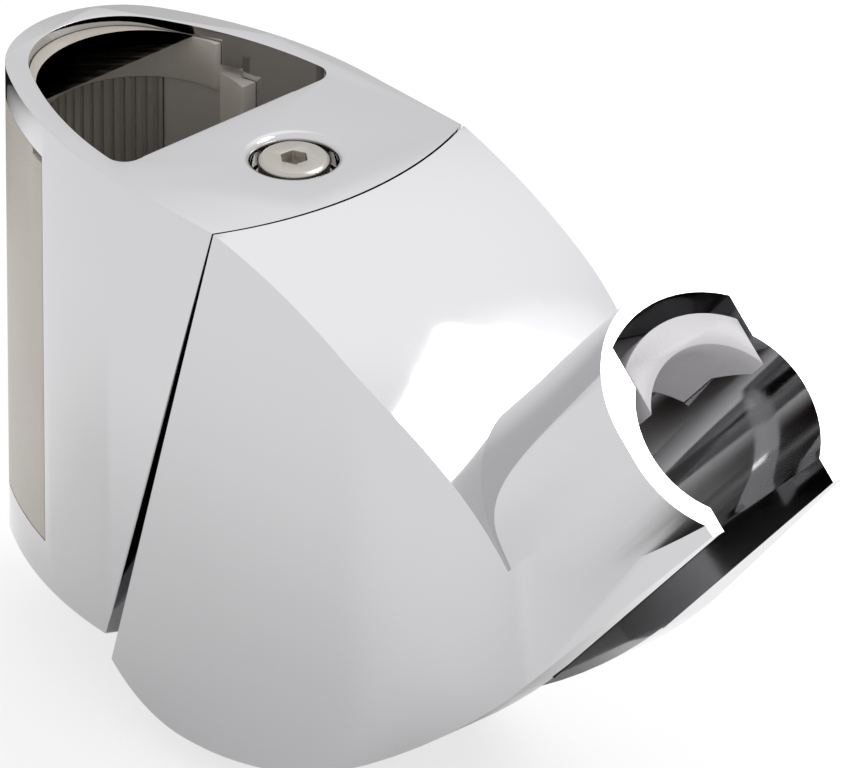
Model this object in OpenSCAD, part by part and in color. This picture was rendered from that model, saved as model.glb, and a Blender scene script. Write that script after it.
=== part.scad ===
/* [Rail and passage] */
// Diameter of the shower rail
rail_d = 25; // [24:0.5:25.5]
// Radial play between the rail and the liner
rail_play = 0.2; // [0.1:0.05:0.4]
// Front wall of the passage, ahead of the rail axis
passage_front = 15.6; // [15.4:0.1:16.5]
// Corner radius at the front of the passage
passage_corner_r = 2.4; // [1.6:0.2:3]

/* [Body] */
// Height of the body
body_h = 63.5; // [60:0.5:68]
// Thickness of body and liner together at each flat side
side_t = 7.4; // [7:0.1:8.5]
// Reach of the body behind the rail axis
back_reach = 17.8; // [17.4:0.1:18.6]
// Radius of the long side arcs in plan
side_arc_r = 58; // [54:1:64]
// Place ahead of the rail axis where the side arcs run straight
side_arc_x = 18.2; // [17:0.2:19]
// Wall of the body round the passage
body_wall = 2.8; // [2.4:0.1:3]
// Band left above the rear window
window_top_band = 4.4; // [3.5:0.1:5.5]
// Band left below the rear window
window_bottom_band = 6; // [5:0.1:7]
// Front end of the rear window, ahead of the rail axis
window_front = 1.6; // [0:0.2:3]
// Thickness of the top wall over the mechanism
top_wall = 7.5; // [7:0.5:9]

/* [Seam] */
// Seam at the flat sides on top, ahead of the rail axis
seam_x = 35; // [34:0.2:36]
// Forward bulge of the seam in the middle
seam_bulge = 4.4; // [3.5:0.1:5]
// Backward lean of the seam
seam_lean = 17.3; // [16:0.1:18.5]
// Gap of the seam at the top
seam_gap = 0.3; // [0.25:0.05:0.5]
// Opening of the seam wedge
seam_wedge = 1.4; // [1.3:0.1:1.8]

/* [Liner] */
// Height of the inner lip at each end of the liner
lip_h = 6.3; // [5:0.1:8]
// Angle of the lip to each side of the back
lip_half_angle = 85; // [78:1:88]
// Rise of the liner wings beside the lower edge of a lip
wing_rise = 2.2; // [1:0.2:3]
// Depth of the liner below the body's top face
liner_drop = 1.3; // [1:0.1:2]
// Angle of the liner wings to each side of the back
liner_half_angle = 106; // [102:1:112]
// Play between the liner and the body
liner_play = 0.1; // [0.05:0.05:0.2]
// Angle of the ribbed lining to each side of the back
lining_half_angle = 52; // [45:1:58]
// Thickness of the ribbed lining
lining_t = 1; // [0.8:0.1:1.2]
// Number of grooves in the lining
groove_count = 17; // [9:2:21]
// Radius of each groove
groove_r = 0.35; // [0.25:0.05:0.4]

/* [Fixing screw] */
// Place of the screw ahead of the rail axis
screw_x = 27.3; // [27:0.1:28]
// Diameter of the screw head
screw_head_d = 8.6; // [8:0.1:9]
// Height of the screw head
screw_head_h = 2.8; // [2.4:0.1:3.2]
// Thread diameter of the screw
screw_d = 5; // [4.5:0.5:5]
// Width of the hex socket across flats
screw_hex = 3; // [2.5:0.5:3]
// Depth of the screw head's top below the body's top face
head_drop = 0.2; // [0:0.1:1]
// Diameter of the counterbore round the head
counterbore_d = 10.4; // [9.8:0.1:11]
// Diameter of the rounded countersink on the top face
countersink_d = 12.6; // [12:0.1:13]

/* [Pivot] */
// Diameter of the hinge pin
pin_d = 4; // [3.5:0.5:5]
// Place of the hinge pin ahead of the rail axis
pin_x = 27.5; // [27:0.1:28]
// Depth of the hinge pin below the top face
pin_drop = 16; // [15:0.5:17]
// Width of the pivot block
block_w = 14; // [12:0.5:15]
// Length of the pivot block
block_l = 10; // [9:0.5:11]
// Thickness of each hinge ear
ear_t = 4; // [3.5:0.5:4.5]
// Outer radius of a hinge ear
ear_r = 5.2; // [5:0.1:5.6]
// Wall of a hinge bush
bush_wall = 1; // [0.8:0.1:1.2]

/* [Brake] */
// Width of the brake shoe
shoe_w = 11; // [10:0.5:12]
// Height of the brake shoe
shoe_h = 18; // [16:0.5:20]
// Height of the shoe's centre above the bottom face
shoe_rise = 15; // [14:0.5:16]
// Travel of the brake shoe
shoe_travel = 1; // [0.8:0.1:1.1]
// Diameter of the two bracket screws
bracket_screw_d = 3; // [2.5:0.5:3]
// Thickness of the brake pad
pad_t = 1.2; // [1:0.1:1.5]
// Diameter of the adjusting screw
adjuster_d = 4; // [3.5:0.5:4]
// Diameter of a shoe spring
shoe_spring_d = 3.6; // [3.2:0.1:4]
// Wire of a shoe spring
shoe_spring_wire = 0.5; // [0.4:0.05:0.6]

/* [Holder] */
// Drop of the holder below the body
holder_drop = 8.2; // [7:0.1:10]
// Radius of the top surface in side view
top_arc_r = 80; // [76:1:84]
// Slope of the top surface where it leaves the seam
top_start_slope = 13.4; // [12:0.2:15]
// Place ahead of the rail axis where the belly is lowest
belly_x = 29.5; // [28:0.5:31]
// Radius of the heel behind the lowest point
heel_arc_r = 19; // [17:0.5:21]
// Radius of the belly ahead of the lowest point
belly_r = 56; // [52:1:60]
// Slope where the belly turns flatter
belly_knee = 30; // [27:1:33]
// Radius of the belly from there to the slotted edge
belly_front_r = 118; // [110:1:126]
// Taper of the cheeks behind the blend, in width per length
cheek_taper = 0.035; // [0.02:0.005:0.05]
// Place ahead of the rail axis where the cheeks turn in
cheek_turn_x = 57.5; // [56:0.5:60]
// Place ahead of the rail axis where the cheeks meet the tube
cheek_end_x = 84.5; // [83:0.5:88]

/* [Socket] */
// Tilt of the socket above the horizontal
socket_tilt = 48; // [46:0.5:50]
// Centre of the socket's mouth ahead of the rail axis
mouth_x = 103.9; // [103:0.1:105]
// Centre of the socket's mouth below the body's top face
mouth_drop = 3.6; // [3:0.1:5]
// Diameter of the socket at its mouth
mouth_d = 24.5; // [24:0.1:25]
// Diameter of the socket at its foot
foot_d = 21.5; // [21:0.1:22]
// Length of the conical socket
cone_l = 34; // [32:1:36]
// Length of the tube, into the block
tube_l = 44; // [42:0.5:46]
// Half-width of the lips at the lower end of the mouth
lip_half_w = 10; // [9.4:0.1:11]
// Outer radius of the tube
tube_r = 14.75; // [14.5:0.05:15]
// Extra height of the tube above its socket
tube_crown = 3.6; // [3:0.1:4]
// Width of the hose slot
slot_w = 17.4; // [16.6:0.1:18]
// Length of the hose channel below the mouth
channel_l = 62; // [58:1:64]
// Width of the notch for the insert
notch_w = 18.6; // [18:0.1:19]
// Radius of the notch's outer wall about the socket axis
notch_r = 16.4; // [16.2:0.1:16.6]
// Depth of the notch along the socket
notch_l = 18; // [16:1:20]

/* [Insert] */
// Inner radius of the insert at its face
insert_in_r = 9.9; // [9.6:0.1:10.2]
// Outer radius of the insert at its face
insert_out_r = 13.9; // [13.6:0.1:14.2]
// Depth of the insert's face below the rim
insert_drop = 0.4; // [0.2:0.1:0.8]
// Play beside the insert in its notch
insert_play = 0.4; // [0.3:0.1:0.6]

/* [Hidden] */

$fn = 96;
slack = 0.01;
far = 200;

chrome = "silver";
beige_plastic = "#b0aaa0";
grey_plastic = "#857f7a";
light_plastic = "#acaaac";
steel = "#9a9a98";
dark_rubber = "#3a3837";

body_w = rail_d + 2 * side_t;
half_w = body_w / 2;
top_z = body_h / 2;
bottom_z = -body_h / 2;

// Places of the main faces
seam_bulge_n = seam_bulge * cos(seam_lean);
seam_r = (half_w * half_w + seam_bulge_n * seam_bulge_n) / (2 * seam_bulge_n);
seam_axis_x = seam_x + seam_bulge - seam_r / cos(seam_lean);
back_arc_r = (2 * side_arc_r * half_w - half_w * half_w - pow(side_arc_x + back_reach, 2))
    / (2 * (side_arc_r - side_arc_x - back_reach));
liner_r = rail_d / 2 + rail_play;
rail_room = half_w - side_arc_r + sqrt(side_arc_r * side_arc_r - side_arc_x * side_arc_x);
liner_room = rail_room - body_wall - liner_play - liner_r;
liner_mid_r = liner_r + 0.44 * liner_room;
lining_r = liner_r + 0.15;
liner_half_h = top_z - liner_drop;
cavity_rear_x = passage_front + 2.4;
cavity_half_w = 13.2;
cavity_floor_z = bottom_z + 8;
cavity_top_z = top_z - top_wall;
pin_z = top_z - pin_drop;
head_top_z = top_z - head_drop;
head_seat_z = head_top_z - screw_head_h;
washer_t = 0.9;
counterbore_floor_z = head_seat_z - washer_t;
screw_l = 10;
hex_turn = 25;
bush_flange_t = 0.5;
side_play = 0.1;
ear_in_y = block_w / 2 + bush_flange_t + side_play;
ear_out_y = ear_in_y + ear_t;
clip_t = 0.7;
clip_y = ear_out_y + side_play + clip_t / 2 + 0.05;
pin_half_l = ear_out_y + side_play + clip_t + 0.4;
shoe_z = bottom_z + 22.75;
shoe_face_r = liner_r + 0.25;
guide_front_x = passage_front - 2;
pad_back_x = shoe_face_r + pad_t;
flange_x = cavity_rear_x + 3.2;
flange_t = 1.8;
shoe_play = 0.2;
spring_pocket = 1;
spring_offset_z = shoe_h / 2 + shoe_spring_d / 2 + 0.5;
arm_x = 31;
arm_t = 3;
bracket_screw_y = 7.5;
bracket_screw_z = shoe_z + 5;
arm_bottom_z = shoe_z - 6;
tip_gap = 0.1;
mouth_z = top_z - mouth_drop;
cheek_stand = 0.2;
channel_step = 0.3;
buffer_d = 5;
buffer_z = bottom_z + 3.8;
buffer_stand = 0.2;

// Outline of the body in plan, moved inwards by inset: back arc, two side arcs and straight sides
module egg(inset, front) {
    r1 = back_arc_r - inset;
    r2 = side_arc_r - inset;
    side_y = side_arc_r - half_w;
    arc_x = back_arc_r - back_reach;
    tangent_x = arc_x - r1 * (side_arc_x - arc_x) / (side_arc_r - back_arc_r);
    translate([arc_x, 0]) circle(r1);
    intersection() {
        translate([side_arc_x, -side_y]) circle(r2, $fn = 240);
        translate([side_arc_x, side_y]) circle(r2, $fn = 240);
        translate([tangent_x, -half_w]) square([side_arc_x - tangent_x + slack, body_w]);
    }
    translate([side_arc_x, inset - half_w]) square([front - side_arc_x, body_w - 2 * inset]);
}

// Plan of the rail passage: the egg moved in by the wall, closed by a straight front with round corners
module passage_plan(inset) {
    front = passage_front - inset;
    side = half_w - body_wall - inset;
    r = max(passage_corner_r - inset, 0.3);
    difference() {
        intersection() {
            egg(body_wall + inset, front + 10);
            translate([-back_reach, -half_w]) square([back_reach + front, body_w]);
        }
        for (s = [-1, 1]) {
            corner_x = front - r;
            corner_y = s * (sqrt(pow(side_arc_r - body_wall - inset, 2) - pow(corner_x - side_arc_x, 2))
                - (side_arc_r - half_w) - r);
            difference() {
                translate([corner_x, min(corner_y, corner_y + s * 2 * r)]) square([2 * r, 2 * r]);
                translate([corner_x, corner_y]) circle(r, $fn = 32);
            }
        }
    }
}

// Cylinder that shapes the seam: its axis leans with the seam, and gap moves the face forward
module seam_cylinder(gap, wedge) {
    lean = seam_lean - wedge;
    translate([seam_x + seam_bulge + gap - seam_r / cos(lean), 0, top_z])
        rotate([0, lean, 0])
        translate([0, 0, -1.6 * body_h])
        cylinder(r = seam_r, h = 2.4 * body_h, $fn = 240);
}

// Straight hole or rod along Z, X or Y, centred where the call places it
module rod_z(r, h) cylinder(r = r, h = h);
module rod_x(r, h) rotate([0, 90, 0]) cylinder(r = r, h = h);
module rod_y(r, h) rotate([90, 0, 0]) cylinder(r = r, h = h, center = true);

// Box given by its low and high corners
module box(low, high) translate(low) cube(high - low);

// Ring sector to each side of the back, between two radii
module back_sector(r_in, r_out, half_angle) {
    reach = 3 * r_out;
    intersection() {
        difference() {
            circle(r_out, $fn = 144);
            circle(r_in, $fn = 144);
        }
        polygon([
            [0, 0],
            [-reach * cos(half_angle), -reach * sin(half_angle)],
            [-reach, -reach],
            [-reach, reach],
            [-reach * cos(half_angle), reach * sin(half_angle)]
        ]);
    }
}

// Body: one die-casting with the rail passage, the rear window and a cavity for the brake
module slider_body() {
    color(chrome) difference() {
        intersection() {
            translate([0, 0, bottom_z]) linear_extrude(body_h) egg(0, seam_x + seam_bulge + 2);
            seam_cylinder(0, 0);
        }
        translate([0, 0, bottom_z - 1]) linear_extrude(body_h + 2) passage_plan(0);
        rear_window(0);
        brake_cavity();
        shoe_window(cavity_rear_x + 1);
        screw_hole();
        guide_peg_holes();
        buffer_seat();
    }
}

// Opening round the back, between the top and bottom bands
module rear_window(play) {
    box(
        [-back_reach - 5, -half_w - 5, bottom_z + window_bottom_band + play],
        [window_front - play, half_w + 5, top_z - window_top_band - play]
    );
}

// Cavity behind the seam for the pivot block, the arm and the shoe's flange
module brake_cavity() {
    box(
        [cavity_rear_x, -cavity_half_w, cavity_floor_z],
        [seam_x + seam_bulge + 5, cavity_half_w, cavity_top_z]
    );
}

// Window through the front wall of the passage for the brake shoe
module shoe_window(to_x) {
    w = shoe_w / 2 + shoe_play;
    h = shoe_h / 2 + shoe_play;
    box([guide_front_x - 1, -w, shoe_z - h], [to_x, w, shoe_z + h]);
}

// Countersink with a rounded edge, counterbore and clearance hole for the fixing screw
module screw_hole() {
    sink_r = (countersink_d - counterbore_d) / 2;
    translate([screw_x, 0, 0]) {
        translate([0, 0, counterbore_floor_z]) rod_z(counterbore_d / 2, far);
        translate([0, 0, cavity_top_z - 1]) rod_z(screw_d / 2 + 0.25, far);
        translate([0, 0, top_z - sink_r]) rotate_extrude() difference() {
            square([countersink_d / 2, sink_r + slack]);
            translate([countersink_d / 2, 0]) circle(sink_r, $fn = 48);
        }
    }
}

guide_peg_r = 1.5;
guide_peg_z = top_z - 14;
module guide_peg_holes() {
    for (s = [-1, 1]) translate([guide_front_x + 0.5, s * 9, guide_peg_z]) rod_x(guide_peg_r + 0.05, 4);
}

// Blind hole for the rubber buffer in the lower front face
module buffer_seat() {
    translate([cavity_rear_x, 0, buffer_z]) rod_x(buffer_d / 2, 10);
}

// Liner: lips at both ends, wings beside the rail and the panel that fills the rear window
module rail_liner() {
    wing_front = -liner_r * cos(liner_half_angle);
    color(beige_plastic) difference() {
        union() {
            translate([0, 0, -liner_half_h]) linear_extrude(2 * liner_half_h) intersection() {
                passage_plan(liner_play);
                translate([-back_reach, -half_w]) square([back_reach + wing_front, body_w]);
            }
            intersection() {
                translate([0, 0, bottom_z]) linear_extrude(body_h) egg(0, seam_x);
                rear_window(liner_play);
            }
        }
        translate([0, 0, -far / 2]) rod_z(liner_r, far);
        translate([0, 0, lip_h - liner_half_h]) rod_z(liner_mid_r, 2 * (liner_half_h - lip_h));
        lip_ends();
        translate([0, 0, lip_h - liner_half_h]) linear_extrude(2 * (liner_half_h - lip_h))
            back_sector(liner_r - 1, lining_r + lining_t, lining_half_angle);
    }
}

// Relief that ends each lip squarely ahead of its angle and leaves the wings lower than the lips
module lip_ends() {
    lip_front = -liner_r * cos(lip_half_angle);
    cut = lip_h - wing_rise;
    for (s = [-1, 1]) {
        box(
            [lip_front, -half_w, s * liner_half_h - (s > 0 ? cut : 1)],
            [half_w, half_w, s * liner_half_h + (s > 0 ? 1 : cut)]
        );
        translate([0, 0, s * (liner_half_h - lip_h / 2) - lip_h / 2]) intersection() {
            rod_z(liner_mid_r, lip_h);
            box([lip_front, -half_w, 0], [half_w, half_w, lip_h]);
        }
    }
}

// Ribbed lining: a curved strip with upright grooves, pressed into the liner
module rail_lining() {
    h = 2 * (liner_half_h - lip_h) - 0.2;
    step = 2 * (lining_half_angle - 4) / (groove_count - 1);
    color(grey_plastic) translate([0, 0, -h / 2]) difference() {
        linear_extrude(h) back_sector(lining_r, lining_r + lining_t - 0.05, lining_half_angle - 0.4);
        for (i = [0:groove_count - 1])
            rotate([0, 0, 180 + (i - (groove_count - 1) / 2) * step])
                translate([lining_r, 0, -1]) cylinder(r = groove_r, h = h + 2, $fn = 16);
    }
}

// Front guide: flat strip on the front wall of the passage, with the shoe's window and two pegs
module front_guide() {
    w = 13;
    color(light_plastic) difference() {
        union() {
            box([guide_front_x, -w, -liner_half_h], [passage_front - 0.05, w, liner_half_h]);
            for (s = [-1, 1])
                translate([passage_front - 1, s * 9, guide_peg_z]) rod_x(guide_peg_r, 2.9);
        }
        shoe_window(passage_front + 1);
        for (s = [-1, 1]) translate([guide_front_x, s * w, 0]) rotate([0, 0, 45])
            cube([1.4, 1.4, far], center = true);
    }
}

// Low-head screw with a hex socket
module fixing_screw() {
    color(steel) translate([screw_x, 0, 0]) difference() {
        union() {
            translate([0, 0, head_seat_z]) rotate_extrude() polygon([
                [0, 0],
                [screw_head_d / 2, 0],
                [screw_head_d / 2, screw_head_h - 0.4],
                [screw_head_d / 2 - 0.4, screw_head_h],
                [0, screw_head_h]
            ]);
            translate([0, 0, head_seat_z - screw_l]) rod_z(screw_d / 2, screw_l + slack);
        }
        translate([0, 0, head_top_z - 2]) rotate([0, 0, hex_turn]) cylinder(d = screw_hex / cos(30), h = 3, $fn = 6);
    }
}

// Flat washer under the screw head
module screw_washer() {
    color(steel) translate([screw_x, 0, counterbore_floor_z]) difference() {
        rod_z(counterbore_d / 2 - 0.3, washer_t);
        translate([0, 0, -1]) rod_z(screw_d / 2 + 0.15, washer_t + 2);
    }
}

// Pivot block: hangs from the fixing screw under the top wall and holds the hinge pin
module pivot_block() {
    foot_r = ear_r;
    color(steel) difference() {
        union() {
            box([screw_x - block_l / 2, -block_w / 2, pin_z], [screw_x + block_l / 2, block_w / 2, cavity_top_z]);
            translate([pin_x, 0, pin_z]) rod_y(foot_r - 0.2, block_w);
        }
        translate([pin_x, 0, pin_z]) rod_y(pin_d / 2, block_w + 2);
        translate([screw_x, 0, head_seat_z - screw_l - 0.5]) rod_z(screw_d / 2, far);
    }
}

// Hinge pin with a groove near each end for its clip
module hinge_pin() {
    color(steel) translate([pin_x, 0, pin_z]) difference() {
        rod_y(pin_d / 2, 2 * pin_half_l);
        for (s = [-1, 1]) translate([0, s * clip_y, 0]) difference() {
            rod_y(pin_d, clip_t + 0.1);
            rod_y(pin_d / 2 - 0.5, clip_t + 1);
        }
    }
}

// The two open clips that keep the pin in the ears
module pin_clips() {
    color(steel) for (s = [-1, 1]) translate([pin_x, s * clip_y, pin_z]) difference() {
        rod_y(pin_d / 2 + 1.6, clip_t);
        rod_y(pin_d / 2 - 0.45, clip_t + 1);
        box([-1.2, -1, -far], [1.2, 1, 0]);
    }
}

// Flanged plastic bush in one ear of the arm bracket
module hinge_bush(side) {
    color(light_plastic) translate([pin_x, 0, pin_z]) difference() {
        union() {
            translate([0, side * (ear_in_y + ear_t / 2), 0]) rod_y(pin_d / 2 + bush_wall, ear_t);
            translate([0, side * (ear_in_y - bush_flange_t / 2), 0]) rod_y(pin_d / 2 + bush_wall + 0.8, bush_flange_t);
        }
        rod_y(pin_d / 2 + 0.04, far);
    }
}
module hinge_bush_left() hinge_bush(1);
module hinge_bush_right() hinge_bush(-1);

// Brake shoe: stem through the passage wall and a flange for the two springs
module brake_shoe() {
    flange_half_h = spring_offset_z + shoe_spring_d / 2 + 0.8;
    color(grey_plastic) difference() {
        union() {
            box([pad_back_x, -shoe_w / 2, shoe_z - shoe_h / 2], [flange_x + slack, shoe_w / 2, shoe_z + shoe_h / 2]);
            box(
                [flange_x, -shoe_w / 2, shoe_z - flange_half_h],
                [flange_x + flange_t, shoe_w / 2, shoe_z + flange_half_h]
            );
        }
        for (s = [-1, 1]) translate([flange_x - 1, 0, shoe_z + s * spring_offset_z])
            rod_x(shoe_spring_d / 2 + 0.3, 1 + spring_pocket);
    }
}

// Rubber pad on the shoe, hollowed to the rail
module brake_pad() {
    color(dark_rubber) difference() {
        box([shoe_face_r - 2, -shoe_w / 2, shoe_z - shoe_h / 2], [pad_back_x, shoe_w / 2, shoe_z + shoe_h / 2]);
        translate([0, 0, shoe_z]) cylinder(r = shoe_face_r, h = shoe_h + 2, center = true, $fn = 144);
    }
}

spring_turns = 3.5;
spring_steps = 14;
spring_sides = 6;

// Points of one ring of the coil at turn angle a, distance x along the spring
function coil_ring(a, x, coil_r, wire_r) = [
    for (b = [0:360 / spring_sides:359])
        [
            x + wire_r * sin(b),
            (coil_r + wire_r * cos(b)) * cos(a),
            (coil_r + wire_r * cos(b)) * sin(a)
        ]
];

// Compression spring along X, from x = 0 to x = length
module coil_spring(length, outer_d, wire) {
    wire_r = wire / 2;
    coil_r = outer_d / 2 - wire_r;
    rings = round(spring_turns * spring_steps);
    n = spring_sides;
    points = [
        for (i = [0:rings])
            each coil_ring(360 * i / spring_steps, wire_r + (length - wire) * i / rings, coil_r, wire_r)
    ];
    sides = [
        for (i = [0:rings - 1])
            for (k = [0:n - 1])
                each [
                    [i * n + k, (i + 1) * n + k, i * n + (k + 1) % n],
                    [i * n + (k + 1) % n, (i + 1) * n + k, (i + 1) * n + (k + 1) % n]
                ]
    ];
    first = [for (k = [0:n - 1]) k];
    last = [for (k = [n - 1:-1:0]) rings * n + k];
    polyhedron(points, concat(sides, [first, last]));
}

// Return spring above or below the stem, between the passage wall and the flange
module shoe_spring(side) {
    color(steel) translate([cavity_rear_x, 0, shoe_z + side * spring_offset_z])
        coil_spring(flange_x + spring_pocket - cavity_rear_x, shoe_spring_d, shoe_spring_wire);
}
module shoe_spring_upper() shoe_spring(1);
module shoe_spring_lower() shoe_spring(-1);

// Rubber buffer that the holder meets at the end of its tilt
module buffer() {
    color(dark_rubber) intersection() {
        translate([cavity_rear_x, 0, buffer_z]) rod_x(buffer_d / 2 - 0.05, seam_x - cavity_rear_x);
        seam_cylinder(buffer_stand, 0);
    }
}

// Points of an arc in the side view, by the slope of its tangent
function slope_arc(start, r, from, to, steps) = [
    for (i = [0:steps])
        let (a = from + (to - from) * i / steps)
        [start[0] + r * (sin(a) - sin(from)), start[1] + r * (cos(from) - cos(a))]
];

// Side view of the holder block: heel, belly and the straight edge up to the mouth
module holder_side() {
    lowest = [belly_x, bottom_z - holder_drop];
    heel = slope_arc(lowest, heel_arc_r, 0, -46, 10);
    belly = slope_arc(lowest, belly_r, 0, belly_knee, 12);
    front = slope_arc(belly[12], belly_front_r, belly_knee, socket_tilt, 8);
    run = 40;
    polygon(concat(
        [[lowest[0] - far / 10 - 5, top_z + 1]],
        [for (i = [10:-1:1]) heel[i]],
        belly,
        [for (i = [1:8]) front[i]],
        [front[8] + run * [cos(socket_tilt), sin(socket_tilt)]],
        [[front[8][0] + run * cos(socket_tilt) - 10, top_z + 1]]
    ));
}

// Half-width of the block in plan: tapered cheeks that turn in to meet the tube
function cheek_half_w(x) =
    let (
        t = min(max((x - cheek_turn_x) / (cheek_end_x - cheek_turn_x), 0), 1),
        blend = t * t * (3 - 2 * t),
        straight = half_w - cheek_taper * (x - seam_x)
    )
    straight + (tube_r + cheek_stand - straight) * blend;

module holder_plan() {
    steps = 14;
    lip_x = mouth_x + tube_r * sin(socket_tilt);
    cheek = [
        for (i = [0:steps])
            let (x = cheek_turn_x + (cheek_end_x - cheek_turn_x) * i / steps)
            [x, cheek_half_w(x)]
    ];
    upper = concat([[0, half_w], [seam_x, half_w]], cheek, [[lip_x, lip_half_w]]);
    lower = [for (i = [len(upper) - 1:-1:0]) [upper[i][0], -upper[i][1]]];
    polygon(concat(upper, lower));
}

// Everything below the top surface, which falls away from the seam alike all round its arc
module under_top() {
    seam_rho = seam_r / cos(seam_lean);
    translate([seam_axis_x, 0, 0]) rotate_extrude($fn = 180) intersection() {
        translate([seam_rho - top_arc_r * sin(top_start_slope), top_z - top_arc_r * cos(top_start_slope)])
            circle(top_arc_r, $fn = 240);
        translate([0, -far / 2]) square([far, far / 2 + top_z]);
    }
}

// Moves its children to the mouth, with Z out along the socket and X down towards the slot
module at_mouth() translate([mouth_x, 0, mouth_z]) rotate([0, 90 - socket_tilt, 0]) children();

// Side band below the socket axis, where the cheeks run on to the lips of the slot
module chin_side() {
    axis = [cos(socket_tilt), sin(socket_tilt)];
    across = [sin(socket_tilt), -cos(socket_tilt)];
    mouth = [mouth_x, mouth_z];
    face = mouth - 0.05 * axis;
    polygon([face, face - tube_l * axis, face - tube_l * axis + tube_r * across, face + tube_r * across]);
}

// Outside of the tube: two circles, one raised for the crown, joined by straight sides
module tube_outside() {
    at_mouth() translate([0, 0, -tube_l]) linear_extrude(tube_l) {
        circle(tube_r);
        translate([-tube_crown, 0]) circle(tube_r);
        translate([-tube_crown, -tube_r]) square([tube_crown, 2 * tube_r]);
    }
}

// Conical socket, the hose channel below it and the slot out of the front
module socket_hollow() {
    at_mouth() translate([0, 0, -cone_l]) cylinder(d1 = foot_d, d2 = mouth_d, h = cone_l + slack);
    at_mouth() translate([0, 0, -channel_l]) cylinder(r = slot_w / 2 - channel_step, h = channel_l);
    axis = [cos(socket_tilt), sin(socket_tilt)];
    mouth = [mouth_x, mouth_z];
    foot = mouth - channel_l * axis;
    translate([0, slot_w / 2, 0]) rotate([90, 0, 0]) linear_extrude(slot_w) polygon([
        mouth + 3 * axis,
        foot,
        [foot[0] - 4, foot[1] - 4],
        [foot[0] - 4, foot[1] - 40],
        [mouth[0] + 40, foot[1] - 40],
        [mouth[0] + 40, mouth[1] + 3 * axis[1]]
    ]);
}

// Notch in the top of the rim and wall
module insert_notch() {
    at_mouth() translate([0, 0, -notch_l]) linear_extrude(notch_l + 1) intersection() {
        circle(notch_r);
        translate([-notch_r - 1, -notch_w / 2]) square([notch_r + 1, notch_w]);
    }
}

// Pocket behind the seam for the arm bracket, with the screw holes in its floor
module bracket_pocket() {
    w = ear_out_y + 1.6;
    box([0, -w, arm_bottom_z - 1], [arm_x + arm_t, w, pin_z + ear_r + 1]);
    translate([arm_x, 0, shoe_z]) rod_x(adjuster_d / 2 + 0.4, arm_t + 6);
    for (s = [-1, 1]) translate([arm_x, s * bracket_screw_y, bracket_screw_z]) rod_x(bracket_screw_d / 2, arm_t + 8);
}

// Holder: one casting of block and tilted tube
module holder() {
    color(chrome) difference() {
        union() {
            intersection() {
                translate([0, half_w + 5, 0]) rotate([90, 0, 0]) linear_extrude(body_w + 10) holder_side();
                translate([0, 0, -far / 2]) linear_extrude(far) holder_plan();
                under_top();
            }
            intersection() {
                translate([0, half_w, 0]) rotate([90, 0, 0]) linear_extrude(body_w) intersection() {
                    chin_side();
                    holder_side();
                }
                translate([0, 0, -far / 2]) linear_extrude(far) holder_plan();
            }
            tube_outside();
        }
        seam_cylinder(seam_gap, seam_wedge);
        bracket_pocket();
        socket_hollow();
        insert_notch();
    }
}

// Arm bracket: two ears on the hinge pin and the plate that carries the adjusting screw
module arm_bracket() {
    plate_top_z = pin_z - ear_r - 2.5;
    color(steel) difference() {
        union() {
            box([arm_x, -ear_out_y, arm_bottom_z], [arm_x + arm_t, ear_out_y, plate_top_z + slack]);
            for (s = [-1, 1]) {
                translate([pin_x, s * (ear_in_y + ear_t / 2), pin_z]) rod_y(ear_r, ear_t);
                box(
                    [pin_x - ear_r * 0.7, min(s * ear_in_y, s * ear_out_y), plate_top_z - 6],
                    [arm_x + arm_t, max(s * ear_in_y, s * ear_out_y), pin_z]
                );
            }
        }
        translate([pin_x, 0, pin_z]) rod_y(pin_d / 2 + bush_wall, far);
        translate([arm_x - 1, 0, shoe_z]) rod_x(adjuster_d / 2, arm_t + 2);
        for (s = [-1, 1]) translate([arm_x - 1, s * bracket_screw_y, bracket_screw_z])
            rod_x(bracket_screw_d / 2 + 0.2, arm_t + 2);
    }
}

// The two screws that hold the bracket to the holder
module bracket_screws() {
    color(steel) for (s = [-1, 1]) translate([arm_x, s * bracket_screw_y, bracket_screw_z]) difference() {
        union() {
            translate([-2, 0, 0]) rod_x(2.6, 2);
            translate([-slack, 0, 0]) rod_x(bracket_screw_d / 2, arm_t + 7);
        }
        translate([-2.5, 0, 0]) rotate([0, 90, 0]) cylinder(d = 2.3, h = 1.8, $fn = 6);
    }
}

// Adjusting screw: sets how far the holder tilts before the shoe bears on the rail
module adjusting_screw() {
    tip_x = flange_x + flange_t + tip_gap;
    end_x = arm_x + arm_t + 4;
    color(steel) translate([tip_x, 0, shoe_z]) difference() {
        rod_x(adjuster_d / 2, end_x - tip_x);
        translate([end_x - tip_x - 2, 0, 0]) rotate([0, 90, 0]) cylinder(d = 2.3, h = 3, $fn = 6);
    }
}

// Lock nut of the adjusting screw
module lock_nut() {
    nut_t = 2.4;
    color(steel) translate([arm_x - nut_t, 0, shoe_z]) rotate([0, 90, 0]) difference() {
        cylinder(d = 7 / cos(30), h = nut_t, $fn = 6);
        translate([0, 0, -1]) cylinder(r = adjuster_d / 2, h = nut_t + 2);
    }
}

// Socket insert: springy arc that grips the hand shower's cone, hooked into the notch
module socket_insert() {
    foot_in_r = mouth_d / 2 - (mouth_d - foot_d) / 2 * notch_l / cone_l;
    w = notch_w - 2 * insert_play;
    color(light_plastic) at_mouth() intersection() {
        rotate_extrude() polygon([
            [insert_in_r, -insert_drop],
            [insert_out_r, -insert_drop],
            [insert_out_r, -notch_l * 0.5],
            [notch_r - 0.05, -notch_l * 0.7],
            [notch_r - 0.05, -notch_l + 0.05],
            [foot_in_r, -notch_l + 0.05],
            [foot_in_r, -notch_l * 0.6],
            [insert_in_r, -insert_drop - 3]
        ]);
        box([-notch_r - 1, -w / 2, -notch_l], [-1, w / 2, 1]);
    }
}

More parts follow.
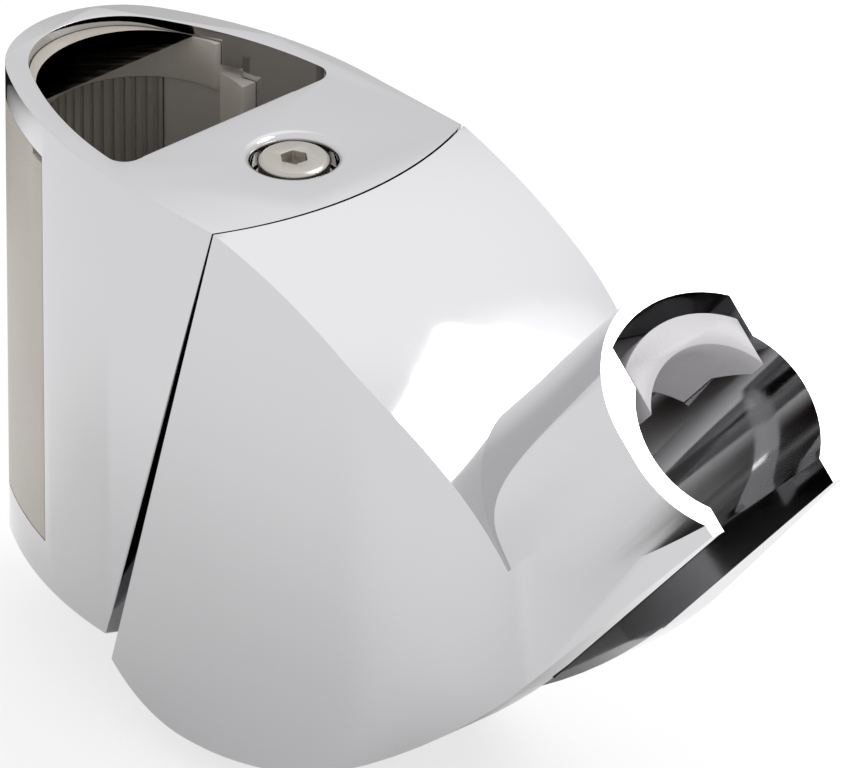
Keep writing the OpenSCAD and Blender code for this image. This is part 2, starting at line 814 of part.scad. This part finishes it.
slider_body();
rail_liner();
rail_lining();
front_guide();
fixing_screw();
screw_washer();
pivot_block();
hinge_pin();
hinge_bush_left();
hinge_bush_right();
pin_clips();
brake_shoe();
brake_pad();
shoe_spring_upper();
shoe_spring_lower();
holder();
arm_bracket();
bracket_screws();
adjusting_screw();
lock_nut();
socket_insert();
buffer();
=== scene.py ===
"""Shower rail slider: the finishes, rounded edges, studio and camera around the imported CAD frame."""

import math

import bpy
from bpy.props import FloatProperty, FloatVectorProperty, PointerProperty
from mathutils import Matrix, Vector


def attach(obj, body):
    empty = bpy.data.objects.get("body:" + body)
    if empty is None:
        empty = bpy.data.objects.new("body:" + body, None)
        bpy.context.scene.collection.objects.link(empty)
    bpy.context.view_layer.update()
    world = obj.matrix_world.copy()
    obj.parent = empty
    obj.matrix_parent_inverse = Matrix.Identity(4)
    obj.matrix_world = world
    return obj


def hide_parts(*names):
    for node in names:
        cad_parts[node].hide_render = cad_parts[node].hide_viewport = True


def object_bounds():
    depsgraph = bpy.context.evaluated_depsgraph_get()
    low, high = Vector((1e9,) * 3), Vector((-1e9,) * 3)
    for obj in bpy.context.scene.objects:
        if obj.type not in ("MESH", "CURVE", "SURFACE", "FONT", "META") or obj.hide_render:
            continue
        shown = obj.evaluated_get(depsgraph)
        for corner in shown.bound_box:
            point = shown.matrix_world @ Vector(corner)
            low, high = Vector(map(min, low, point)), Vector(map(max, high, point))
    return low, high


bl_info = {
    "name": "Shower rail slider",
    "version": (1, 0, 0),
    "blender": (4, 5, 0),
    "location": "View3D > Sidebar > Slider",
    "description": "Builds the dressed pieces of a chrome-plated shower rail slider",
    "category": "Object",
}

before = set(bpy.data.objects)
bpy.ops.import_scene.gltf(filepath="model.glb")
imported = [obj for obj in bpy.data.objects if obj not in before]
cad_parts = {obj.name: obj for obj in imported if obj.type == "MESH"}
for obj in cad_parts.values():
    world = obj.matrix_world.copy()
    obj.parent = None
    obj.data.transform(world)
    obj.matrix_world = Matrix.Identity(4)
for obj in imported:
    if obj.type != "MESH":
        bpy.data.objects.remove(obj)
CAD_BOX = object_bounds()
MM = 0.001
IMAGE_W, IMAGE_H = 848, 768

# Share of plain white that the camera sees in the floor, over its own light and shadow
FLOOR_WHITE = 0.7

SOFT_BOXES = (
    (-165, 60, 8, 34, 0.32),
    (155, 46, 3, 15, 0.4),
)

# Lamps that cast the soft shadow: azimuth, elevation, distance, size and power
LAMPS = (("key_lamp", 139, 48, 0.8, 0.35, 2.0),)

# Dark cards that only gloss sees, painted dark reflections in the chrome: centre above the floor, size, turn in
# degrees, and where each edge fades in or out along U and V
PAINTED_REFLECTION_CARDS = (
    ("painted_dark_behind", (-0.085, 0.08, 0.06), (0.5, 0.14), (90, 0, 41.8), ((0.0, 0.25), (1.0, 0.75), (0, 0), (1.0, 0.25))),
    ("painted_dark_floor_behind", (-0.14, 0.125, 0.001), (0.5, 0.24), (0, 0, 41.8), ((0.0, 0.25), (1.0, 0.75), (0.0, 0.25), (0, 0))),
    # Painted shade: a dark card for the floor's shade under the tube, seen only in the chrome's reflection
    ("painted_shade_under_socket", (0.097, -0.012, 0.0015), (0.11, 0.11), (0, 0, 0), ((0.0, 0.4), (1.0, 0.6), (0.0, 0.4), (1.0, 0.6))),
)

# Steel parts of the brake that sit behind the seam, by body
HIDDEN_STEEL = {
    "body": ["screw_washer", "pivot_block", "hinge_pin", "pin_clips", "shoe_spring_upper", "shoe_spring_lower"],
    "holder": ["arm_bracket", "bracket_screws", "adjusting_screw", "lock_nut"],
}


def linear(code):
    """Turns an sRGB hex colour to the linear numbers that Blender reads."""
    parts = [int(code[i : i + 2], 16) / 255 for i in (1, 3, 5)]
    return [p / 12.92 if p <= 0.04045 else ((p + 0.055) / 1.055) ** 2.4 for p in parts]


def colour(name, text, code):
    """A colour that the user can change, from its hex code."""
    return FloatVectorProperty(name=name, description=text, subtype="COLOR", size=3, min=0, max=1, default=linear(code))


def length(name, text, metres):
    """A length that the user can change, in metres."""
    return FloatProperty(name=name, description=text, unit="LENGTH", min=0, default=metres)


class SliderSizes(bpy.types.PropertyGroup):
    """Sizes of what the scene adds to the frame."""

    edge_r: length("Edge radius", "Rounding of the polished casting's edges", 0.6 * MM)
    small_r: length("Small edge radius", "Rounding of the moulded parts' edges", 0.25 * MM)
    floor_gap: length("Floor gap", "Height of the slider's lowest point above the floor", 4 * MM)


class SliderColours(bpy.types.PropertyGroup):
    """Colours of the finishes."""

    chrome: colour("Chrome", "Reflection colour of the chrome plate", "#cdcdce")
    panel: colour("Liner", "Moulded liner and its rear panel", "#b0aaa0")
    lining: colour("Lining", "Ribbed lining against the rail", "#8c867e")
    light: colour("Light plastic", "Socket insert, guide and bushes", "#b4b1b4")
    steel: colour("Stainless steel", "Screws and the parts of the brake", "#b9b5ae")
    rubber: colour("Rubber", "Brake pad and buffer", "#3a3837")
    floor: colour("Floor", "Studio floor", "#f2f2f2")


def sizes():
    return bpy.context.scene.slider_sizes


def colours():
    return bpy.context.scene.slider_colours


def add_node(tree, kind, settings=(), inputs=()):
    """Adds one node; an input is a value, or the socket of another node to link."""
    new = tree.nodes.new(kind)
    for key, value in dict(settings).items():
        setattr(new, key, value)
    for key, value in dict(inputs).items():
        if isinstance(value, bpy.types.NodeSocket):
            tree.links.new(value, new.inputs[key])
        else:
            new.inputs[key].default_value = value
    return new


def new_material(name):
    """An empty material with an output, and its node tree."""
    made = bpy.data.materials.new(name)
    made.use_nodes = True
    made.node_tree.nodes.clear()
    return made, made.node_tree


def finish_material(tree, shader):
    add_node(tree, "ShaderNodeOutputMaterial", {}, {"Surface": shader.outputs[0]})


def rgba(value):
    return (*value[:3], 1.0)


def chrome_plate():
    """Bright chrome plate on a polished zinc casting: a clear mirror, slightly uneven from hand polishing."""
    made, tree = new_material("bright_chrome_plate")
    place = add_node(tree, "ShaderNodeTexCoord")
    # Polishing leaves waves about 14 mm long and a few microns high
    waves = add_node(tree, "ShaderNodeTexNoise", {}, {"Vector": place.outputs["Object"], "Scale": 70.0, "Detail": 1.0})
    bump = add_node(tree, "ShaderNodeBump", {}, {"Height": waves.outputs["Fac"], "Strength": 0.03, "Distance": 0.001})
    # Faint water haze, patches of about 9 mm
    haze = add_node(tree, "ShaderNodeTexNoise", {}, {"Vector": place.outputs["Object"], "Scale": 110.0, "Detail": 4.0})
    rough = add_node(
        tree,
        "ShaderNodeMapRange",
        {},
        {"Value": haze.outputs["Fac"], "From Min": 0.35, "From Max": 0.7, "To Min": 0.05, "To Max": 0.085},
    )
    shader = add_node(
        tree,
        "ShaderNodeBsdfPrincipled",
        {},
        {
            "Base Color": rgba(colours().chrome),
            "Metallic": 1.0,
            "Roughness": rough.outputs[0],
            "Normal": bump.outputs[0],
        },
    )
    finish_material(tree, shader)
    return made


def moulded_plastic(name, base, roughness, grain_mm, depth):
    """Injection-moulded plastic with the fine spark-eroded grain of its mould."""
    made, tree = new_material(name)
    place = add_node(tree, "ShaderNodeTexCoord")
    grain = add_node(
        tree, "ShaderNodeTexNoise", {}, {"Vector": place.outputs["Object"], "Scale": 1000 / grain_mm, "Detail": 3.0}
    )
    bump = add_node(tree, "ShaderNodeBump", {}, {"Height": grain.outputs["Fac"], "Strength": depth, "Distance": 0.0002})
    cloud = add_node(tree, "ShaderNodeTexNoise", {}, {"Vector": place.outputs["Object"], "Scale": 90.0, "Detail": 2.0})
    tone = add_node(
        tree,
        "ShaderNodeMix",
        {"data_type": "RGBA"},
        {"Factor": cloud.outputs["Fac"], "A": rgba([c * 0.93 for c in base]), "B": rgba([min(1, c * 1.06) for c in base])},
    )
    shader = add_node(
        tree,
        "ShaderNodeBsdfPrincipled",
        {},
        {"Base Color": tone.outputs["Result"], "Roughness": roughness, "IOR": 1.5, "Normal": bump.outputs[0]},
    )
    finish_material(tree, shader)
    return made


def turned_steel():
    """Turned stainless steel: satin, with fine tool rings that spread the gloss."""
    made, tree = new_material("turned_stainless_steel")
    place = add_node(tree, "ShaderNodeTexCoord")
    lines = add_node(tree, "ShaderNodeTexNoise", {}, {"Vector": place.outputs["Object"], "Scale": 900.0, "Detail": 3.0})
    bump = add_node(tree, "ShaderNodeBump", {}, {"Height": lines.outputs["Fac"], "Strength": 0.12, "Distance": 0.0002})
    shader = add_node(
        tree,
        "ShaderNodeBsdfPrincipled",
        {},
        {"Base Color": rgba(colours().steel), "Metallic": 1.0, "Roughness": 0.28, "Normal": bump.outputs[0]},
    )
    finish_material(tree, shader)
    return made


MATERIALS = {}


def material(name):
    """Each finish, made the first time that a piece asks for it."""
    if name not in MATERIALS:
        c = colours()
        MATERIALS[name] = {
            "chrome": chrome_plate,
            "panel": lambda: moulded_plastic("moulded_acetal", list(c.panel), 0.38, 0.35, 0.25),
            "lining": lambda: moulded_plastic("soft_ribbed_lining", list(c.lining), 0.6, 0.3, 0.4),
            "light": lambda: moulded_plastic("light_acetal", list(c.light), 0.32, 0.4, 0.15),
            "steel": turned_steel,
            "rubber": lambda: moulded_plastic("black_rubber", list(c.rubber), 0.7, 0.25, 0.5),
        }[name]()
    return MATERIALS[name]


def only(piece):
    """Deselects everything and makes one object the active one."""
    bpy.ops.object.select_all(action="DESELECT")
    piece.select_set(True)
    bpy.context.view_layer.objects.active = piece


def rounded_copy(node, name, radius, segments=2, angle=30):
    """A merged copy of a CAD node with its sharp edges rounded."""
    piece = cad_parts[node].copy()
    piece.data = piece.data.copy()
    piece.name = name
    for key in list(piece.keys()):
        del piece[key]
    piece.parent = None
    bpy.context.scene.collection.objects.link(piece)
    only(piece)
    if piece.data.has_custom_normals:
        bpy.ops.mesh.customdata_custom_splitnormals_clear()
    bpy.ops.object.mode_set(mode="EDIT")
    bpy.ops.mesh.select_all(action="SELECT")
    bpy.ops.mesh.remove_doubles(threshold=1e-6)
    bpy.ops.mesh.dissolve_limited(angle_limit=math.radians(0.3))
    bpy.ops.object.mode_set(mode="OBJECT")
    if radius:
        bevel = piece.modifiers.new("round", "BEVEL")
        bevel.width = radius
        bevel.segments = segments
        bevel.limit_method = "ANGLE"
        bevel.angle_limit = math.radians(angle)
        bevel.harden_normals = False
        bevel.miter_outer = "MITER_ARC"
        bpy.ops.object.modifier_apply(modifier="round")
    bpy.ops.object.shade_smooth_by_angle(angle=math.radians(angle))
    return piece


def dress(piece, finish, body, slot, *nodes):
    """Gives a piece its material and its body, and hides the nodes that it stands for."""
    piece.data.materials.clear()
    piece.data.materials.append(material(finish))
    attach(piece, body)
    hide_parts(*nodes)
    return piece


class SLIDER_OT_body(bpy.types.Operator):
    """Makes the polished body with its rounded rims"""

    bl_idname = "slider.body"
    bl_label = "Slider body"

    def execute(self, context):
        piece = rounded_copy("slider_body", "polished_body", sizes().edge_r, 3)
        dress(piece, "chrome", "body", "chrome", "slider_body")
        return {"FINISHED"}


class SLIDER_OT_holder(bpy.types.Operator):
    """Makes the polished holder"""

    bl_idname = "slider.holder"
    bl_label = "Holder"

    def execute(self, context):
        piece = rounded_copy("holder", "polished_holder", 0)
        dress(piece, "chrome", "holder", "chrome", "holder")
        return {"FINISHED"}


class SLIDER_OT_mouldings(bpy.types.Operator):
    """Makes the liner, lining, guide and socket insert"""

    bl_idname = "slider.mouldings"
    bl_label = "Moulded parts"

    def execute(self, context):
        r = sizes().small_r
        dress(rounded_copy("rail_liner", "moulded_liner", r), "panel", "body", "liner_plastic", "rail_liner")
        dress(rounded_copy("rail_lining", "ribbed_lining", 0), "lining", "body", "lining_plastic", "rail_lining")
        dress(rounded_copy("front_guide", "guide_strip", r), "light", "body", "light_plastic", "front_guide")
        dress(rounded_copy("socket_insert", "grip_insert", r), "light", "holder", "light_plastic", "socket_insert")
        return {"FINISHED"}


class SLIDER_OT_hardware(bpy.types.Operator):
    """Makes the fixing screw and finishes the brake's small parts"""

    bl_idname = "slider.hardware"
    bl_label = "Screws and brake"

    def execute(self, context):
        dress(rounded_copy("fixing_screw", "low_head_screw", 0.12 * MM), "steel", "body", "stainless", "fixing_screw")
        rest = {n: "steel" for group in HIDDEN_STEEL.values() for n in group}
        rest.update(brake_shoe="lining", brake_pad="rubber", buffer="rubber")
        rest.update(hinge_bush_left="light", hinge_bush_right="light")
        for name, finish in rest.items():
            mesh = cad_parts[name].data
            mesh.materials.clear()
            mesh.materials.append(material(finish))
        return {"FINISHED"}


class SLIDER_OT_stage(bpy.types.Operator):
    """Sets the floor, the light and the camera"""

    bl_idname = "slider.stage"
    bl_label = "Stage"

    def execute(self, context):
        low = CAD_BOX[0]
        floor_z = low.z - sizes().floor_gap
        self.floor(floor_z)
        self.flags(floor_z)
        self.world(context.scene)
        self.lamps()
        self.camera(context.scene)
        context.scene.view_settings.view_transform = "Standard"
        return {"FINISHED"}

    def floor(self, z):
        bpy.ops.object.select_all(action="DESELECT")
        bpy.ops.mesh.primitive_plane_add(size=6, location=(0, 0, z))
        floor = bpy.context.object
        floor.name = "studio_floor"
        made, tree = new_material("matt_studio_paper")
        path = add_node(tree, "ShaderNodeLightPath")
        paper = add_node(tree, "ShaderNodeBsdfDiffuse", {}, {"Color": rgba(colours().floor)})
        white = add_node(tree, "ShaderNodeEmission", {}, {"Color": (1, 1, 1, 1), "Strength": 1.0})
        seen = add_node(
            tree, "ShaderNodeMath", {"operation": "MULTIPLY"}, {0: path.outputs["Is Camera Ray"], 1: FLOOR_WHITE}
        )
        mix = add_node(
            tree, "ShaderNodeMixShader", {}, {0: seen.outputs[0], 1: paper.outputs[0], 2: white.outputs[0]}
        )
        finish_material(tree, mix)
        floor.data.materials.append(made)

    def world(self, scene):
        """A light tent: a grey horizon, a brighter ceiling and soft boxes, each a round lobe of light."""
        world = bpy.data.worlds.new("studio")
        scene.world = world
        world.use_nodes = True
        tree = world.node_tree
        tree.nodes.clear()
        place = add_node(tree, "ShaderNodeTexCoord")
        split = add_node(tree, "ShaderNodeSeparateXYZ", {}, {0: place.outputs["Generated"]})
        ramp = add_node(tree, "ShaderNodeValToRGB", {}, {0: split.outputs["Z"]})
        ramp.color_ramp.elements[0].position = 0.0
        ramp.color_ramp.elements[0].color = (0.8, 0.8, 0.8, 1)
        ramp.color_ramp.elements[1].position = 0.6
        ramp.color_ramp.elements[1].color = (1.0, 1.0, 1.01, 1)
        total = ramp.outputs[0]
        for azimuth, elevation, inner, outer, gain in SOFT_BOXES:
            a, e = math.radians(azimuth), math.radians(elevation)
            axis = (math.sin(a) * math.cos(e), -math.cos(a) * math.cos(e), math.sin(e))
            dot = add_node(tree, "ShaderNodeVectorMath", {"operation": "DOT_PRODUCT"}, {0: place.outputs["Generated"], 1: axis})
            lobe = add_node(
                tree,
                "ShaderNodeMapRange",
                {"interpolation_type": "SMOOTHSTEP"},
                {
                    "Value": dot.outputs["Value"],
                    "From Min": math.cos(math.radians(outer)),
                    "From Max": math.cos(math.radians(inner)),
                    "To Min": 0.0,
                    "To Max": gain,
                },
            )
            add = add_node(
                tree, "ShaderNodeVectorMath", {"operation": "ADD"}, {0: total, 1: lobe.outputs[0]}
            )
            total = add.outputs[0]
        back = add_node(tree, "ShaderNodeBackground", {}, {"Color": total, "Strength": 1.0})
        add_node(tree, "ShaderNodeOutputWorld", {}, {"Surface": back.outputs[0]})

    def flags(self, floor_z):
        """Dark cards with faded edges, which only gloss sees: painted reflections that draw the dark lines in the
        chrome and the floor's shade under it.
        """
        for name, centre, size, turn, fade in PAINTED_REFLECTION_CARDS:
            bpy.ops.object.select_all(action="DESELECT")
            bpy.ops.mesh.primitive_plane_add(size=1, location=(centre[0], centre[1], centre[2] + floor_z))
            card = bpy.context.object
            card.name = name
            card.scale = (size[0], size[1], 1)
            card.rotation_euler = [math.radians(t) for t in turn]
            card.visible_camera = card.visible_diffuse = card.visible_shadow = False
            made, tree = new_material(name + "_painted_reflection_sheet")
            place = add_node(tree, "ShaderNodeTexCoord")
            split = add_node(tree, "ShaderNodeSeparateXYZ", {}, {0: place.outputs["UV"]})
            cover = None
            for axis, (low, high) in zip("XXYY", fade):
                if low == high:
                    continue
                edge = add_node(
                    tree,
                    "ShaderNodeMapRange",
                    {"interpolation_type": "SMOOTHSTEP"},
                    {"Value": split.outputs[axis], "From Min": low, "From Max": high, "To Min": 0.0, "To Max": 1.0},
                )
                cover = (
                    edge
                    if cover is None
                    else add_node(tree, "ShaderNodeMath", {"operation": "MULTIPLY"}, {0: cover.outputs[0], 1: edge.outputs[0]})
                )
            clear = add_node(tree, "ShaderNodeBsdfTransparent")
            # Painted dark reflection: black emission that only gloss rays see
            black = add_node(tree, "ShaderNodeEmission", {}, {"Color": (0.012, 0.009, 0.008, 1), "Strength": 1.0})
            mix = add_node(
                tree, "ShaderNodeMixShader", {}, {0: cover.outputs[0], 1: clear.outputs[0], 2: black.outputs[0]}
            )
            finish_material(tree, mix)
            card.data.materials.append(made)

    def lamps(self):
        for name, azimuth, elevation, distance, size, power in LAMPS:
            a, e = math.radians(azimuth), math.radians(elevation)
            place = Vector((math.sin(a) * math.cos(e), -math.cos(a) * math.cos(e), math.sin(e))) * distance
            bpy.ops.object.light_add(type="AREA", location=place)
            lamp = bpy.context.object
            lamp.name = name
            lamp.data.size = size
            lamp.data.energy = power
            lamp.rotation_euler = (-place).to_track_quat("-Z", "Y").to_euler()

    def camera(self, scene):
        # The photograph is nearly without perspective: a long lens, 8.4 pixels to the millimetre
        azimuth, elevation = math.radians(48.14), math.radians(29.77)
        target = Vector((47.8, 2.4, 8.2)) * MM
        lens, pixels_per_mm = 1061, 8.4
        width = IMAGE_W / pixels_per_mm * MM
        back = Vector(
            (
                math.sin(azimuth) * math.cos(elevation),
                -math.cos(azimuth) * math.cos(elevation),
                math.sin(elevation),
            )
        )
        bpy.ops.object.camera_add(location=target + back * (width * lens / 36))
        camera = bpy.context.object
        camera.name = "photo_camera"
        camera.data.lens = lens
        camera.data.sensor_width = 36
        camera.data.clip_end = 50
        camera.rotation_euler = (-back).to_track_quat("-Z", "Y").to_euler()
        scene.camera = camera


class SLIDER_PT_panel(bpy.types.Panel):
    """Lists the slider's sizes, colours and steps"""

    bl_idname = "SLIDER_PT_panel"
    bl_label = "Shower rail slider"
    bl_space_type = "VIEW_3D"
    bl_region_type = "UI"
    bl_category = "Slider"

    def draw(self, context):
        layout = self.layout
        for group in (context.scene.slider_sizes, context.scene.slider_colours):
            for key in group.__annotations__:
                layout.prop(group, key)
        for step in STEPS:
            layout.operator(step.bl_idname)


STEPS = (SLIDER_OT_body, SLIDER_OT_holder, SLIDER_OT_mouldings, SLIDER_OT_hardware, SLIDER_OT_stage)
CLASSES = (SliderSizes, SliderColours, *STEPS, SLIDER_PT_panel)


def register():
    for item in CLASSES:
        bpy.utils.register_class(item)
    bpy.types.Scene.slider_sizes = PointerProperty(type=SliderSizes)
    bpy.types.Scene.slider_colours = PointerProperty(type=SliderColours)


def unregister():
    del bpy.types.Scene.slider_colours
    del bpy.types.Scene.slider_sizes
    for item in reversed(CLASSES):
        bpy.utils.unregister_class(item)


def main():
    register()
    bpy.ops.slider.body()
    bpy.ops.slider.holder()
    bpy.ops.slider.mouldings()
    bpy.ops.slider.hardware()
    bpy.ops.slider.stage()


if __name__ == "__main__":
    main()
